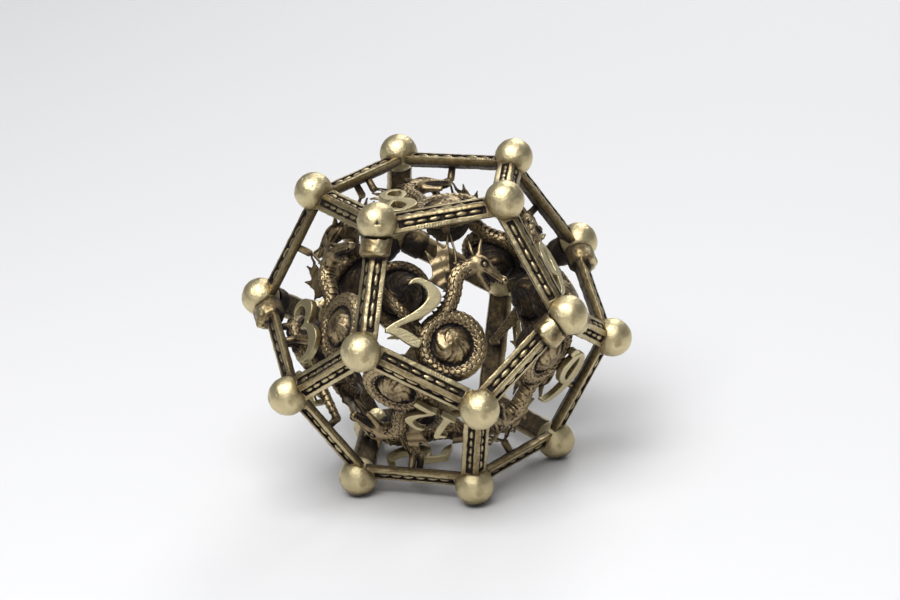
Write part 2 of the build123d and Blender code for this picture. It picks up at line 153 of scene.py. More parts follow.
class Field:
    """A block of signed distances in a local frame, in millimetres."""

    def __init__(self, low, high, voxel):
        self.low, self.voxel = np.array(low, float), voxel
        counts = np.ceil((np.array(high) - self.low) / voxel).astype(int) + 1
        self.axes = [self.low[k] + voxel * np.arange(counts[k]) for k in range(3)]
        self.values = np.full(counts, 1.0, np.float32)

    def part(self, low, high):
        """The slices of the block between two corners."""
        first = np.clip(np.floor((np.array(low) - self.low) / self.voxel).astype(int), 0, None)
        last = np.ceil((np.array(high) - self.low) / self.voxel).astype(int) + 1
        return tuple(slice(a, max(a, b)) for a, b in zip(first, np.clip(last, 0, None)))

    def points(self, where=(slice(None),) * 3):
        grids = np.meshgrid(*(self.axes[k][where[k]] for k in range(3)), indexing="ij")
        return np.stack(grids, -1)

    def add(self, shape, low, high, blend=0.05, margin=0.25):
        """Joins a shape to the block, within the box that holds it."""
        where = self.part(np.array(low) - margin, np.array(high) + margin)
        points = self.points(where)
        if points.size:
            self.values[where] = smooth_min(self.values[where], shape(points), blend)

    def cut(self, shape, low, high, blend=0.04, margin=0.15):
        where = self.part(np.array(low) - margin, np.array(high) + margin)
        points = self.points(where)
        if points.size:
            self.values[where] = smooth_max(self.values[where], -shape(points), blend)

    def ball(self, centre, radius, blend=0.05, cut=False):
        centre = np.array(centre, float)
        act = self.cut if cut else self.add
        act(lambda p: np.linalg.norm(p - centre, axis=-1) - radius, centre - radius,
            centre + radius, blend)

    def egg(self, centre, radii, axes=np.eye(3), blend=0.08):
        """An ellipsoid, with its own axes as rows."""
        centre, radii = np.array(centre, float), np.array(radii, float)

        def shape(points):
            local = (points - centre) @ axes.T
            size = np.linalg.norm(local / radii, axis=-1)
            slope = np.linalg.norm(local / radii ** 2, axis=-1)
            return size * (size - 1) / np.maximum(slope, 1e-6)
        self.add(shape, centre - radii.max(), centre + radii.max(), blend)

    def rod(self, start, end, first, last, blend=0.05, cut=False):
        """A round taper between two points."""
        start, end = np.array(start, float), np.array(end, float)
        reach = max(first, last)
        along = end - start

        def shape(points):
            share = np.clip((points - start) @ along / (along @ along), 0, 1)
            nearest = start + share[..., None] * along
            return np.linalg.norm(points - nearest, axis=-1) - (first + (last - first) * share)
        act = self.cut if cut else self.add
        act(shape, np.minimum(start, end) - reach, np.maximum(start, end) + reach, blend)

    def curve(self, points, first, last, blend=0.05, steps=14):
        """A round taper along a smooth curve through a few points."""
        path = smooth_path(points, steps)
        sizes = np.linspace(first, last, len(path))
        for k in range(len(path) - 1):
            self.rod(path[k], path[k + 1], sizes[k], sizes[k + 1], blend if k == 0 else 0.01)

    def sample(self, places):
        """The field between its grid points."""
        scaled = (places - self.low) / self.voxel
        cell = np.clip(np.floor(scaled).astype(int), 0, np.array(self.values.shape) - 2)
        part = np.clip(scaled - cell, 0, 1)
        total = 0
        for corner in range(8):
            step = np.array([corner & 1, corner >> 1 & 1, corner >> 2 & 1])
            weight = np.prod(np.where(step, part, 1 - part), -1)
            place = cell + step
            total = total + weight * self.values[place[:, 0], place[:, 1], place[:, 2]]
        return total

    def mesh(self, name):
        """The surface as a mesh, with how shut in each point is by the shape round it, for painted shade and
        dark patina.
        """
        grid = openvdb.FloatGrid(1.0)
        grid.copyFromArray(self.values)
        corners, quads = grid.convertToQuads(isovalue=0)
        corners = corners * self.voxel + self.low
        mesh = bpy.data.meshes.new(name)
        mesh.vertices.add(len(corners))
        mesh.vertices.foreach_set("co", corners.astype(np.float32).ravel())
        mesh.loops.add(quads.size)
        mesh.loops.foreach_set("vertex_index", quads.astype(np.int32).ravel())
        mesh.polygons.add(len(quads))
        mesh.polygons.foreach_set("loop_start", np.arange(0, quads.size, 4, dtype=np.int32))
        mesh.update(calc_edges=True)
        mesh.validate()
        mesh.polygons.foreach_set("use_smooth", np.ones(len(mesh.polygons), bool))
        normals = np.zeros(len(mesh.vertices) * 3, np.float32)
        mesh.vertex_normals.foreach_get("vector", normals)
        normals = normals.reshape(-1, 3)
        # How shut in each point is: drives painted shade as well as the dark patina in hollows.
        shade_and_patina = np.zeros(len(corners))
        for reach, share in RECESS_REACHES:
            open_to = self.sample(corners + normals * reach)
            shade_and_patina += share * np.clip(1 - open_to / reach, -0.5, 1)
        mesh.attributes.new("shade_and_patina", "FLOAT", "POINT").data.foreach_set(
            "value", shade_and_patina.astype(np.float32))
        return mesh


RECESS_REACHES = ((0.07, 0.30), (0.16, 0.40), (0.36, 0.30))    # how far out it looks, and how much each counts


def smooth_path(points, steps):
    """Points along a smooth curve through a few given ones."""
    points = np.array(points, float)
    padded = np.concatenate([[2 * points[0] - points[1]], points, [2 * points[-1] - points[-2]]])
    path = []
    for k in range(1, len(padded) - 2):
        before, here, there, after = padded[k - 1:k + 3]
        for share in np.linspace(0, 1, steps, endpoint=False):
            path.append(0.5 * (2 * here + (there - before) * share
                               + (2 * before - 5 * here + 4 * there - after) * share ** 2
                               + (3 * here - before - 3 * there + after) * share ** 3))
    return np.array(path + [points[-1]])


# ---- materials ------------------------------------------------------------------------------
def mixed(nodes, links, factor, first, second):
    """Mixes two colours by a factor, each a socket or a constant."""
    mix = nodes.new("ShaderNodeMix")
    mix.data_type = "RGBA"
    for socket, value in ((mix.inputs[0], factor), (mix.inputs[6], first), (mix.inputs[7], second)):
        if isinstance(value, bpy.types.NodeSocket):
            links.new(value, socket)
        elif socket is mix.inputs[0]:
            socket.default_value = value
        else:
            socket.default_value = (*value, 1)
    return mix.outputs[2]


def figured(nodes, links, operation, first, second=0.0, third=0.0, clamp=False):
    """One step of arithmetic on sockets or constants."""
    step = nodes.new("ShaderNodeMath")
    step.operation = operation
    step.use_clamp = clamp
    for socket, value in zip(step.inputs, (first, second, third)):
        if isinstance(value, bpy.types.NodeSocket):
            links.new(value, socket)
        else:
            socket.default_value = value
    return step.outputs[0]


def ranged(nodes, links, value, low, high, first=0.0, last=1.0):
    """Maps a value smoothly from one range to another."""
    step = nodes.new("ShaderNodeMapRange")
    step.interpolation_type = "SMOOTHSTEP"
    links.new(value, step.inputs[0])
    for socket, number in zip(step.inputs[1:5], (low, high, first, last)):
        socket.default_value = number
    return step.outputs[0]


def noisy(nodes, links, place, size, detail=4.0, stretch=None, rough=0.55):
    """Noise with features of one size in millimetres, drawn out along an axis if asked."""
    if stretch:
        mapping = nodes.new("ShaderNodeMapping")
        mapping.inputs["Rotation"].default_value = stretch[0]
        mapping.inputs["Scale"].default_value = stretch[1]
        links.new(place, mapping.inputs["Vector"])
        place = mapping.outputs[0]
    noise = nodes.new("ShaderNodeTexNoise")
    noise.inputs["Scale"].default_value = 1 / (size * MM)
    noise.inputs["Detail"].default_value = detail
    noise.inputs["Roughness"].default_value = rough
    links.new(place, noise.inputs["Vector"])
    return noise.outputs[0]


def brass(name, bright, dull, dark, low, high, rough=0.34, grain=0.10, scratch=0.5, speck=0.0,
          clean=0.0, bump=0.35, inner=None):
    """Antique brass: polished where it is rubbed, dull between, and dark in its recesses, partly patina and
    partly painted shade, which also falls where other pieces come close.

    inner gives two heights in the piece's own frame: the metal darkens from one to the other, a painted shade
    on the side that faces into the die.
    """
    material = bpy.data.materials.new(name)
    material.use_nodes = True
    nodes, links = material.node_tree.nodes, material.node_tree.links
    surface = nodes["Principled BSDF"]
    place = nodes.new("ShaderNodeTexCoord").outputs["Object"]
    shade_and_patina = nodes.new("ShaderNodeAttribute")
    shade_and_patina.attribute_name = "shade_and_patina"
    shade_and_patina = shade_and_patina.outputs["Fac"]
    # Ambient occlusion within about a millimetre: painted shade where the piece lies close to other pieces, as
    # where struts meet balls.
    corner = nodes.new("ShaderNodeAmbientOcclusion")
    corner.samples = 6
    corner.inputs["Distance"].default_value = 1.1 * MM
    painted_contact_shade = figured(nodes, links, "SUBTRACT", 1.0, corner.outputs["AO"])
    shade_and_patina = figured(nodes, links, "MULTIPLY_ADD", painted_contact_shade, 1.0, shade_and_patina)
    cloud = noisy(nodes, links, place, 2.2, 3)
    fine = noisy(nodes, links, place, 0.28, 5, rough=0.62)
    grit = noisy(nodes, links, place, 0.075, 3)
    lines = noisy(nodes, links, place, 0.5, 4, ((0.4, 0.7, 0.2), (0.35, 5.0, 5.0)), 0.6)
    lines_across = noisy(nodes, links, place, 0.5, 4, ((1.1, -0.5, 1.9), (0.3, 6.0, 6.0)), 0.6)
    scratches = figured(nodes, links, "ADD", lines, lines_across)

    depth = figured(nodes, links, "MULTIPLY_ADD", fine, 0.30, shade_and_patina)
    depth = figured(nodes, links, "MULTIPLY_ADD", cloud, 0.16, depth)
    depth = figured(nodes, links, "ADD", depth, -0.23 - clean)
    # Painted shade: the metal darkens towards the inside of the die.
    if inner:
        split = nodes.new("ShaderNodeSeparateXYZ")
        links.new(place, split.inputs[0])
        inside = ranged(nodes, links, split.outputs[2], inner[0] * MM, inner[1] * MM, 0.40, 0.0)
        depth = figured(nodes, links, "ADD", depth, inside)
    # Mask of dark patina in the hollows together with painted shade, mixed into the dark colour below.
    patina_and_painted_shade = ranged(nodes, links, depth, low, high)
    rubbed = ranged(nodes, links, depth, low - 0.22, low + 0.04, 1.0, 0.0)
    colour = mixed(nodes, links, rubbed, dull, bright)
    tint = ranged(nodes, links, cloud, 0.35, 0.65, 0.0, 0.35)
    colour = mixed(nodes, links, tint, colour, dull)
    colour = mixed(nodes, links, patina_and_painted_shade, colour, dark)
    if speck:
        spots = ranged(nodes, links, grit, 0.60, 0.70, 0.0, speck)
        colour = mixed(nodes, links, spots, colour, dark)
    links.new(colour, surface.inputs["Base Color"])
    links.new(ranged(nodes, links, patina_and_painted_shade, 0.15, 1.0, 1.0, 0.25), surface.inputs["Metallic"])
    shine = figured(nodes, links, "MULTIPLY_ADD", patina_and_painted_shade, 0.34, rough)
    shine = figured(nodes, links, "MULTIPLY_ADD", fine, 0.22, shine)
    shine = figured(nodes, links, "ADD", shine, -0.11)
    links.new(shine, surface.inputs["Roughness"])

    height = figured(nodes, links, "MULTIPLY", fine, grain)
    height = figured(nodes, links, "MULTIPLY_ADD", grit, grain * 0.5, height)
    height = figured(nodes, links, "MULTIPLY_ADD", scratches, scratch * 0.12, height)
    relief = nodes.new("ShaderNodeBump")
    relief.inputs["Strength"].default_value = bump
    relief.inputs["Distance"].default_value = 0.35 * MM
    links.new(height, relief.inputs["Height"])
    links.new(relief.outputs[0], surface.inputs["Normal"])
    return material


# ---- figures: a serpent dragon coiled round a pearl -------------------------------------------
# Places are right, up and out from the middle of the face. The tail, coil and neck are one body.
PEARL_RISE = 3.168
NECK_DROP = 4.762
PEARL = np.array([0.95, PEARL_RISE - FACE_APOTHEM, -1.75])
PEARL_RADIUS = 1.56
COIL_RADIUS = 1.85
TAIL_END = np.array([-4.59, -1.49, -1.15])
TAIL_DEPTH = 1.02
BODY_DEPTH = 1.15
VOXEL = 0.046


def turn_point(middle, radius, angle, depth):
    return np.array([middle[0] + radius * math.cos(math.radians(angle)),
                     middle[1] + radius * math.sin(math.radians(angle)), -depth])


def body_path():
    """Centre line of the serpent from its tail to its skull, and its radius all along."""
    tail_angle, neck_angle = 188, 150
    tail_start = turn_point(PEARL, COIL_RADIUS, tail_angle, TAIL_DEPTH)
    points, sizes = [], []
    for share in np.linspace(0, 1, 40, endpoint=False):
        points.append(TAIL_END + (tail_start - TAIL_END) * share)
        sizes.append(0.20 + 0.22 * share)
    turn = 360 - (neck_angle - tail_angle)
    for share in np.linspace(0, 1, 110, endpoint=False):
        angle = tail_angle + turn * share
        depth = TAIL_DEPTH + (BODY_DEPTH - TAIL_DEPTH) * min(1, share * 4)
        points.append(turn_point(PEARL, COIL_RADIUS, angle, depth))
        sizes.append(0.42 + 0.12 * min(1, share * 2.5))
    return np.array(points), np.array(sizes)


def neck_path():
    """Centre line of the neck in its two bends, and its radius."""
    leave, lower_turn, upper_turn, upper_radius = 150, 55, 85, 1.25
    way = lambda angle: np.array([math.cos(math.radians(angle)), math.sin(math.radians(angle))])
    start = turn_point(PEARL, COIL_RADIUS, leave, BODY_DEPTH)
    first, second = leave - 90, leave - 90 + lower_turn
    lower_rise = (way(first + 90) + way(second - 90))[1]
    upper_rise = (way(second - 90) + way(second - upper_turn + 90))[1]
    lower_radius = (FACE_RADIUS - NECK_DROP - start[1] - upper_rise * upper_radius) / lower_rise
    middle = start[:2] + way(first + 90) * lower_radius
    points, sizes = [], []
    for share in np.linspace(0, 1, 34, endpoint=False):
        place = middle + way(first - 90 + lower_turn * share) * lower_radius
        points.append([*place, -BODY_DEPTH])
        sizes.append(0.52 - 0.06 * math.sin(math.pi * share))
    bend = middle + way(second - 90) * (lower_radius + upper_radius)
    for share in np.linspace(0, 1, 24):
        place = bend + way(second + 90 - upper_turn * share) * upper_radius
        points.append([*place, -BODY_DEPTH])
        sizes.append(0.52 + 0.02 * share)
    return np.array(points), np.array(sizes)


def add_body(field, points, sizes, belly):
    """Sweeps a round body along its path, with scales all over and plates along its belly."""
    shape = field.values.shape
    nearest = np.full(shape, 9.0, np.float32)
    along = np.zeros(shape, np.float32)
    across = np.zeros(shape, np.float32)
    reach = float(sizes.max()) + 0.30
    run = 0.0
    for k in range(len(points) - 1):
        start, step = points[k], points[k + 1] - points[k]
        length = np.linalg.norm(step)
        where = field.part(np.minimum(points[k], points[k + 1]) - reach,
                           np.maximum(points[k], points[k + 1]) + reach)
        near = field.points(where) - start
        share = np.clip(near @ step / length ** 2, 0, 1)
        offset = near - share[..., None] * step
        gap = np.linalg.norm(offset, axis=-1) - (sizes[k] + (sizes[k + 1] - sizes[k]) * share)
        side = unit(np.cross(step, [0, 0, 1.0]))
        better = gap < nearest[where]
        nearest[where] = np.where(better, gap, nearest[where])
        along[where] = np.where(better, run + share * length, along[where])
        turned = np.arctan2(offset[..., 2], offset @ side * belly)
        across[where] = np.where(better, turned, across[where])
        run += length
    skin = np.abs(nearest) < 0.28
    s, a = along[skin], across[skin]
    # belly plates lie at angle 0, on the inner side of each bend; the back is at half a turn
    pitch = 0.42
    plate = (s / pitch) % 1
    on_belly = np.clip((0.95 - np.abs(a)) / 0.12, 0, 1)
    plate_lift = 0.075 * plate ** 0.7 - 0.10 * np.clip((plate - 0.86) / 0.14, 0, 1)
    column = 0.42
    rows = a / 0.60
    row = np.floor(rows)
    inside = rows - row - 0.5
    shift = (s / column + 0.5 * (row % 2)) % 1
    round_front = shift + 1.4 * inside ** 2
    cell = round_front % 1
    scale_lift = 0.085 * cell ** 0.8 - 0.10 * np.clip((cell - 0.84) / 0.16, 0, 1) \
        - 0.05 * np.clip((np.abs(inside) - 0.36) / 0.14, 0, 1)
    edge = 0.05 * np.exp(-((np.abs(a) - 1.0) / 0.09) ** 2)
    lift = on_belly * plate_lift + (1 - on_belly) * scale_lift - edge
    body = nearest.copy()
    body[skin] -= lift.astype(np.float32)
    field.values[:] = smooth_min(field.values, body, 0.05)
    return run


def pearl_shape(points):
    """A ball with flame-like swirls round it, a traditional dragon's pearl."""
    offset = points - PEARL
    distance = np.linalg.norm(offset, axis=-1)
    flat = np.hypot(offset[..., 0], offset[..., 1])
    polar = np.arctan2(flat, offset[..., 2])
    turn = np.arctan2(offset[..., 1], offset[..., 0])
    wander = 0.35 * value_noise(points, 0.9, 31)
    arm = (5 * turn / (2 * math.pi) + 1.5 * polar + wander) % 1
    ridge = 0.11 * arm ** 0.8 - 0.13 * np.clip((arm - 0.80) / 0.20, 0, 1)
    vein = 0.03 * np.exp(-((arm - 0.42) / 0.07) ** 2)
    eye = np.clip((polar - 0.30) / 0.10, 0, 1)
    rough = 0.020 * value_noise(points, 0.15, 12) + 0.030 * value_noise(points, 0.45, 13)
    return distance - (PEARL_RADIUS - 0.07 + (ridge - vein) * eye + 0.04 * (1 - eye) + rough)


def add_head(field):
    """A long-jawed head in profile, with its eyes, teeth, horns and a frill behind its jaw."""
    points, _ = neck_path()
    neck_end = points[-1]
    turn = math.radians(-8)
    ahead = np.array([math.cos(turn), math.sin(turn), 0])
    above = np.array([-math.sin(turn), math.cos(turn), 0])
    out = np.array([0, 0, 1.0])
    skull = neck_end + np.array([math.cos(math.radians(45)), math.sin(math.radians(45)), 0]) * 0.5
    axes = np.stack([ahead, above, out])

    def at(forward, up, side=0.0):
        return skull + ahead * forward + above * up + out * side

    field.egg(skull, (0.80, 0.66, 0.56), axes, 0.10)
    field.egg(at(0.75, 0.06), (0.80, 0.42, 0.44), axes, 0.12)
    field.rod(at(0.9, 0.02), at(1.98, -0.02), 0.36, 0.25, 0.10)
    field.egg(at(2.02, 0.06), (0.26, 0.22, 0.30), axes, 0.08)
    jaw_turn = math.radians(-34)
    jaw = np.array([math.cos(jaw_turn), math.sin(jaw_turn), 0])
    hinge = at(-0.05, -0.30)
    field.rod(hinge, hinge + jaw * 1.62, 0.30, 0.15, 0.10)
    field.egg(hinge + jaw * 1.60 + above * 0.03, (0.2, 0.13, 0.17), axes, 0.06)
    field.curve([hinge + jaw * 0.3 + above * 0.18, hinge + jaw * 0.95 + above * 0.22,
                 hinge + jaw * 1.45 + above * 0.34], 0.11, 0.05)
    for side in (1, -1):
        field.curve([at(-0.45, 0.42, 0.26 * side), at(0.15, 0.52, 0.40 * side),
                     at(0.75, 0.34, 0.38 * side), at(1.25, 0.24, 0.24 * side)], 0.13, 0.07, 0.04)
        field.ball(at(0.30, 0.16, 0.52 * side), 0.25, 0.03, cut=True)
        field.ball(at(0.30, 0.16, 0.40 * side), 0.20, 0.02)
        field.ball(at(0.33, 0.16, 0.61 * side), 0.06, 0.02, cut=True)
        field.curve([at(0.02, 0.02, 0.48 * side), at(0.30, -0.10, 0.50 * side),
                     at(0.60, 0.06, 0.44 * side)], 0.05, 0.04, 0.03)
        field.curve([at(1.62, 0.20, 0.16 * side), at(1.95, 0.24, 0.24 * side),
                     at(2.16, 0.10, 0.24 * side)], 0.05, 0.06, 0.03)
        field.ball(at(2.08, 0.08, 0.30 * side), 0.085, 0.02, cut=True)
        field.curve([at(0.20, -0.24, 0.36 * side), at(0.95, -0.18, 0.36 * side),
                     at(1.90, -0.14, 0.24 * side)], 0.07, 0.05, 0.04)
        for number in range(7):
            place = at(0.75 + 0.19 * number, -0.20, (0.34 - 0.016 * number) * side)
            field.rod(place, place - above * 0.19 + ahead * 0.03, 0.055, 0.012, 0.02)
        for number in range(5):
            place = hinge + jaw * (0.62 + 0.2 * number) + above * 0.19 + out * (0.20 - 0.018 * number) * side
            field.rod(place, place + above * 0.17, 0.045, 0.012, 0.02)
        for number, (way, length) in enumerate(((196, 0.95), (222, 0.80), (250, 0.62))):
            direction = np.array([math.cos(math.radians(way)), math.sin(math.radians(way)), 0.18 * side])
            root = at(-0.30 + 0.10 * number, -0.22 - 0.10 * number, 0.34 * side)
            field.rod(root, root + direction * length, 0.12, 0.02, 0.05)
    for number in range(5):
        root = at(1.45 - 0.28 * number, 0.30 + 0.03 * number, 0)
        field.rod(root, root + above * 0.16 - ahead * 0.10, 0.09, 0.02, 0.04)
    for way, side in ((111, 0.20), (139, -0.06)):
        direction = np.array([math.cos(math.radians(way)), math.sin(math.radians(way)), 0])
        bend = np.array([-direction[1], direction[0], 0])
        start = skull + direction * 0.25 + out * side
        path = smooth_path([start, start + direction * 0.7 + bend * 0.05 + out * 0.04,
                            start + direction * 1.38 - bend * 0.04], 20)
        for k in range(len(path) - 1):
            share = k / (len(path) - 1)
            ring = 0.022 * (math.cos(k * 2.1) > 0.35)
            field.rod(path[k], path[k + 1], 0.225 - 0.17 * share + ring, 0.222 - 0.17 * share + ring, 0.02)


def add_back_spikes(field):
    """A row of spikes along the back of the neck, leaning away from the head."""
    points, sizes = neck_path()
    for k in range(6, len(points) - 8, 6):
        step = unit(points[k + 1] - points[k])
        back = np.cross([0, 0, 1.0], step)
        root = points[k] + back * (sizes[k] - 0.08)
        field.rod(root, root + back * 0.34 - step * 0.16, 0.17, 0.025, 0.05)


def add_fin(field):
    """A ragged fin behind the neck: a thin web held by four ribs from one root."""
    neck, _ = neck_path()
    root = neck[26] + np.array([-0.15, 0, 0])
    tip = np.array([-2.6, 4.1, -1.15])
    ends = [tip + [0.10, 0.10, 0], tip + [-0.28, -0.92, 0], tip + [-0.62, -1.95, 0],
            root + [-1.75, 0.18, 0]]
    low = np.array([-3.7, 0.2, -1.5])
    high = np.array([0.4, 4.6, -0.8])

    def web(points):
        flat = points[..., :2] - root[:2]
        best = np.full(flat.shape[:-1], 1.0)
        for first, second in zip(ends[:-1], ends[1:]):
            a, b = np.array(first[:2]) - root[:2], np.array(second[:2]) - root[:2]
            area = a[0] * b[1] - a[1] * b[0]
            u = (flat[..., 0] * b[1] - flat[..., 1] * b[0]) / area
            v = (a[0] * flat[..., 1] - a[1] * flat[..., 0]) / area
            scoop = 1 - 0.95 * (u * v) / np.maximum((u + v) ** 2, 1e-6)
            size = np.linalg.norm(flat, axis=-1) + 1e-6
            edge = (u + v - scoop) * size / np.maximum(u + v, 1e-3)
            inside = np.maximum(np.maximum(-u, -v) * 1.2, edge)
            best = np.minimum(best, inside)
        ripple = 0.03 * np.sin(np.linalg.norm(flat, axis=-1) * 9)
        thick = np.abs(points[..., 2] - root[2] - ripple) - 0.075
        return np.maximum(best, thick)

    field.add(web, low, high, 0.04)
    for end, size in zip(ends, (0.17, 0.12, 0.11, 0.10)):
        end = np.array(end)
        bow = (root + end) / 2 + np.array([-(end - root)[1], (end - root)[0], 0]) * -0.10
        field.curve([root, bow, end], size, 0.05, 0.04, 18)


LUGS = ((0, 0.2), (0, 1.7), (3, -0.3), (4, 0.0))    # side of the face, and place along that side
LUG_RADIUS = 0.26
LUG_SIDE = 0.33
LUG_REACH = 0.72
STRUT_UNDERSIDE = -0.83


def add_lugs(field):
    """Short posts from the figure up to the pins under the struts."""
    for side, offset in LUGS:
        turn = math.radians(72 * side - 90)
        outwards = np.array([math.cos(turn), math.sin(turn), 0])
        forward = np.array([-math.sin(turn), math.cos(turn), 0])
        normal = np.array([0, 0, 1.0])
        tilt = math.pi / 2 - HALF_DIHEDRAL
        up = normal * math.cos(tilt) + outwards * math.sin(tilt)
        inwards = normal * math.sin(tilt) - outwards * math.cos(tilt)
        seat = outwards * FACE_APOTHEM + forward * offset + inwards * LUG_SIDE + up * STRUT_UNDERSIDE
        field.rod(seat - up * LUG_REACH, seat + up * 0.04, LUG_RADIUS, LUG_RADIUS * 0.9, 0.12)


def figure_field():
    field = Field((-5.1, -5.40, -3.45), (3.6, 5.3, -0.05), VOXEL)
    ring = np.linspace(150, 150 + 356, 150)
    coil = np.array([turn_point(PEARL, COIL_RADIUS, angle, BODY_DEPTH) for angle in ring])
    neck, neck_sizes = neck_path()
    body = np.concatenate([neck[::-1], coil[1:]])
    sizes = np.concatenate([neck_sizes[::-1], np.full(len(coil) - 1, 0.53)])
    sizes[len(neck):] -= 0.05 * np.linspace(0, 1, len(coil) - 1)
    add_body(field, body, sizes, -1)
    tail_start = turn_point(PEARL, COIL_RADIUS, 188, TAIL_DEPTH)
    tail = smooth_path([tail_start + [0.2, -0.08, -0.05], (tail_start + TAIL_END) / 2, TAIL_END], 26)
    add_body(field, tail, np.linspace(0.40, 0.22, len(tail)), -1)
    field.add(pearl_shape, PEARL - PEARL_RADIUS, PEARL + PEARL_RADIUS, 0.03)
    add_head(field)
    add_back_spikes(field)
    add_fin(field)
    add_lugs(field)
    grain = 0.012 * value_noise(field.points(), 0.22, 21)
    field.values += grain.astype(np.float32)
    return field


# ---- struts -----------------------------------------------------------------------------------
FLANK_OUT = math.sin(HALF_DIHEDRAL)
FLANK_DOWN = math.cos(HALF_DIHEDRAL)
RIDGE = 0.15
RIDGE_TOP = 0.082
FLANK_WIDTH = 1.08
CHANNEL_MIDDLE = 0.495
CHANNEL_WIDTH = 0.45
CHANNEL_DEPTH = 0.22
UNDERSIDE = -0.83
BEAD_PITCH = 0.90
BEADS = 6
COLLAR_RADIUS = 1.025
COLLAR_LENGTH = 1.05
STRUT_VOXEL = 0.044


def strut_mesh(name, collared, seed):
    """One strut in its own frame: X along it, Z outwards."""
    half = EDGE / 2
    low_end = half - 0.70
    field = Field((-low_end - 0.06, -1.12, -1.36), (low_end + 0.06, 1.12, 0.86 if collared else 0.24),
                  STRUT_VOXEL)
    points = field.points()
    random = np.random.default_rng(seed)
    x, y, z = points[..., 0], np.abs(points[..., 1]), points[..., 2]
    side = np.sign(points[..., 1])
    along = y * FLANK_OUT - (z - RIDGE) * FLANK_DOWN
    below = -y * FLANK_DOWN - (z - RIDGE) * FLANK_OUT
    cast = value_noise(points, 0.55, seed + 1) * 0.020 + value_noise(points, 0.17, seed + 2) * 0.011
    section = smooth_max(-below, z - RIDGE_TOP, 0.07)
    section = smooth_max(section, (y - 0.9188) * 0.8097 - (z + 0.4178) * 0.5869, 0.09)
    section = smooth_max(section, UNDERSIDE - z, 0.07)
    wander = value_noise(points * [1, 0.2, 0.2], 0.7, seed + 3) * 0.02
    channel = np.maximum(np.abs(along - CHANNEL_MIDDLE + wander) - CHANNEL_WIDTH / 2,
                         below - CHANNEL_DEPTH)
    channel = np.maximum(channel, np.abs(x) - (half - BALL_RADIUS - 0.02))
    section = smooth_max(section, -channel, 0.045)
    number = np.clip(np.round(x / BEAD_PITCH + (BEADS - 1) / 2), 0, BEADS - 1).astype(int)
    which = number + BEADS * (side > 0)
    shift = random.normal(0, 0.035, BEADS * 2)[which]
    size = random.uniform(0.85, 1.12, BEADS * 2)[which]
    sunk = random.normal(0, 0.018, BEADS * 2)[which]
    from_middle = x - (number - (BEADS - 1) / 2) * BEAD_PITCH - shift
    reach = 0.40 * size
    radius = (0.06 + 0.15 * np.sqrt(np.clip(1 - (from_middle / reach) ** 2, 0, 1))) * size
    beads = np.sqrt((along - CHANNEL_MIDDLE) ** 2 + (below - CHANNEL_DEPTH + sunk) ** 2) - radius
    beads = np.maximum(beads, np.abs(from_middle) - reach)
    section = smooth_min(section, beads, 0.05)
    patch = np.clip(value_noise(points * [1, 0.1, 0.1], 1.9, seed + 4) * 2.5, 0, 1)
    rope = np.sin((x + along * 0.5) * 2 * math.pi / 0.19) * np.clip((along - 0.80) / 0.05, 0, 1) \
        * np.clip((1.04 - along) / 0.05, 0, 1) * (below > -0.1) * (below < 0.12)
    section = section - 0.016 * rope * patch - cast
    from_ball = np.sqrt((half - np.abs(x)) ** 2 + y ** 2 + z ** 2)
    section = smooth_max(section, BALL_RADIUS - 0.09 - from_ball, 0.03)
    if collared:
        from_ball = np.sqrt((x + half) ** 2 + y ** 2 + z ** 2)
        edge = value_noise(points, 0.5, seed + 5) * 0.07 + value_noise(points, 0.2, seed + 6) * 0.03
        collar = smooth_max(np.sqrt(y ** 2 + (z + 0.25) ** 2) - COLLAR_RADIUS + edge * 0.45,
                            from_ball - BALL_RADIUS - COLLAR_LENGTH + edge, 0.22)
        collar = smooth_max(collar, BALL_RADIUS + 0.08 + edge - from_ball, 0.04)
        section = smooth_max(section, np.where(x < 0, BALL_RADIUS - 0.2 - from_ball, -1.0), 0.02)
        section = smooth_min(section, collar - cast * 1.3, 0.07)
    field.values[:] = section.astype(np.float32)
    return field.mesh(name)


# ---- balls --------------------------------------------------------------------------------------
BALL_VOXEL = 0.05
CHIP_WIDTH = 0.40
CHIP_SLOPE = 0.8
VIEW = {"azimuth": -10.76, "elevation": 20.84, "distance": 221.57, "aim": (1.114, 0.166, 0.974),
        "roll": -6.178}


def view_back():
    """Unit direction from what the camera aims at to the camera."""
    turn, rise = math.radians(VIEW["azimuth"]), math.radians(VIEW["elevation"])
    return np.array([math.sin(turn) * math.cos(rise), -math.cos(turn) * math.cos(rise), math.sin(rise)])


def ball_mesh(corner):
    """One ball about its own middle, with dents and pits; the first one has a chip."""
    reach = BALL_RADIUS + 0.06
    field = Field((-reach,) * 3, (reach,) * 3, BALL_VOXEL)
    points = field.points()
    seed = 400 + 10 * corner
    random = np.random.default_rng(seed)
    lumps = 0.026 * value_noise(points, 1.2, seed) + 0.014 * value_noise(points, 0.4, seed + 1) \
        + 0.008 * value_noise(points, 0.15, seed + 2)
    field.values[:] = np.linalg.norm(points, axis=-1) - (BALL_RADIUS - 0.04) - lumps
    for _ in range(14):
        way = unit(random.normal(size=3))
        size = random.uniform(0.05, 0.14)
        field.ball(way * (BALL_RADIUS + size * 0.45), size, 0.03, cut=True)
    if corner == TOP:
        way = unit(view_back() + [0.03, 0, -0.10])
        side = unit(np.cross(way, [0.2, 0.1, 1.0]))
        other = np.cross(side, way)
        place = way * BALL_RADIUS

        def chip(where):
            flat = np.stack([(where - place) @ side, (where - place) @ other], -1)
            edges = [flat @ [math.cos(turn), math.sin(turn)] for turn in (0.5, 2.5, 4.7)]
            return np.max(edges, axis=0) - CHIP_WIDTH / 2 - CHIP_SLOPE * ((where - place) @ way)
        field.cut(chip, place - 0.4, place + 0.4, 0.02)
    return field.mesh(f"ball_{corner + 1}")


